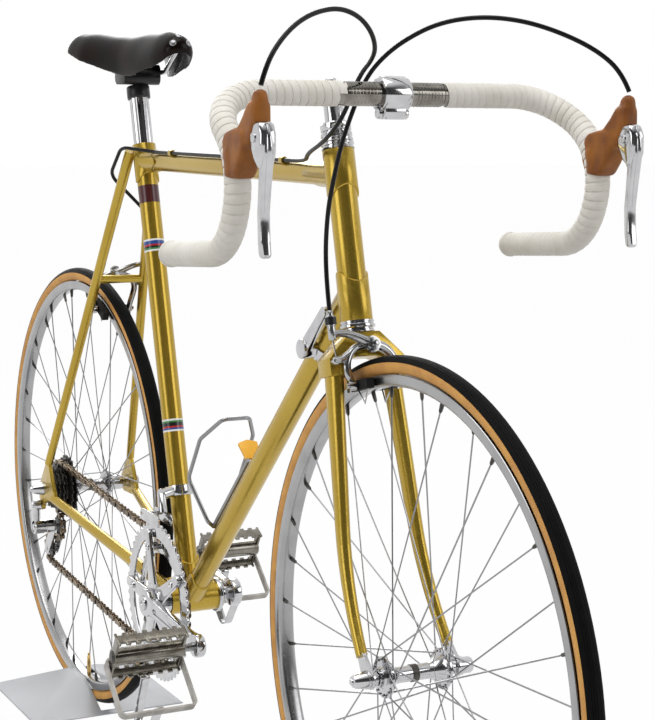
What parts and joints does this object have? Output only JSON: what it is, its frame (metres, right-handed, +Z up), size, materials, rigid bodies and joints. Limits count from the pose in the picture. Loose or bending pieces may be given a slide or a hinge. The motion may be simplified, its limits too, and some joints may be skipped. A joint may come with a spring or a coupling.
{
  "type": "road racing bicycle",
  "caption": "Lugged steel road racing bicycle with drop bar, wire wheels, double chainset, toe clips and side-pull brakes, its rear tyre held in a folded sheet floor stand.",
  "frame": {"origin": "on the floor, midway between the two axles", "axes": "+X forward, +Y to the rider's left, +Z up"},
  "size_m": [1.6843, 0.449, 1.0253],
  "materials": {
    "paint": "gold metallic gloss",
    "chromed": "bright plate",
    "polished_alloy": "polished",
    "steel": "stainless",
    "dark_steel": "dark oxide",
    "chain_steel": "oiled bronze brown",
    "black_plastic": "black",
    "tape": "cream ribbed",
    "gum": "gum brown",
    "pad_rubber": "black",
    "tyre": "black tread with tan sidewalls",
    "leather": "black polished",
    "strap": "pale grey",
    "tab": "yellow-orange",
    "grey_paint": "grey satin"
  },
  "bodies": {
    "frame": {"bb_shell": "paint", "bearing_cups": "chromed", "bottle_cage": "chromed", "braze_ons": "paint", "cage_tab": "tab", "chain": "chain_steel", "down_tube": "paint", "freewheel": "dark_steel", "front_mech": "polished_alloy", "head_tube": "paint", "jockey_wheels": "black_plastic", "lugs": "paint", "rear_brake": "polished_alloy", "rear_brake_housing": "black_plastic", "rear_brake_pads": "pad_rubber", "rear_dropouts": "paint", "rear_mech": "polished_alloy", "rear_skewer": "polished_alloy", "rear_stays": "paint", "saddle": "leather", "saddle_clamp": "dark_steel", "saddle_rails": "chromed", "seat_post": "polished_alloy", "seat_tube": "paint", "shift_levers": "polished_alloy", "stand": "grey_paint", "top_tube": "paint"},
    "fork": {"fork_crown": "paint", "headset_races": "chromed", "fork_blades": "paint", "fork_tips": "paint", "stem": "polished_alloy", "handlebar": "polished_alloy", "bar_tape": "tape", "hoods": "gum", "brake_levers": "polished_alloy", "front_brake": "polished_alloy", "front_brake_pads": "pad_rubber", "front_brake_housing": "black_plastic", "rear_brake_housing_front": "black_plastic", "front_skewer": "polished_alloy"},
    "front_wheel": {"front_tyre": "tyre", "front_rim": "polished_alloy", "front_spokes": "steel", "front_hub": "polished_alloy"},
    "rear_wheel": {"rear_tyre": "tyre", "rear_rim": "polished_alloy", "rear_spokes": "steel", "rear_hub": "polished_alloy"},
    "crankset": {"crank_right": "polished_alloy", "crank_left": "polished_alloy", "chainrings": "polished_alloy", "spindles": "steel"},
    "right_pedal": {"pedal_right": "dark_steel", "toe_clip_right": "chromed", "toe_strap_right": "strap"},
    "left_pedal": {"pedal_left": "dark_steel", "toe_clip_left": "chromed", "toe_strap_left": "strap"}
  },
  "joints": [
    {"name": "steering", "type": "hinge", "parent": "frame", "child": "fork", "pos_m": [0.3684, 0, 0.69333], "axis": [-0.263, 0, 0.9648], "range_deg": [-70, 70], "deforming": ["rear_brake_housing_front"]},
    {"name": "front_wheel_spin", "type": "hinge", "parent": "fork", "child": "front_wheel", "pos_m": [0.50624, 0, 0.336], "axis": [0, 1, 0], "continuous": true},
    {"name": "rear_wheel_spin", "type": "hinge", "parent": "frame", "child": "rear_wheel", "pos_m": [-0.50624, 0, 0.336], "axis": [0, 1, 0], "continuous": true},
    {"name": "crank_spin", "type": "hinge", "parent": "frame", "child": "crankset", "pos_m": [-0.09043, 0, 0.264], "axis": [0, 1, 0], "continuous": true},
    {"name": "right_pedal_spin", "type": "hinge", "parent": "crankset", "child": "right_pedal", "pos_m": [0.07916, 0, 0.25214], "axis": [0, 1, 0], "continuous": true},
    {"name": "left_pedal_spin", "type": "hinge", "parent": "crankset", "child": "left_pedal", "pos_m": [-0.26001, 0, 0.27586], "axis": [0, 1, 0], "continuous": true}
  ]
}
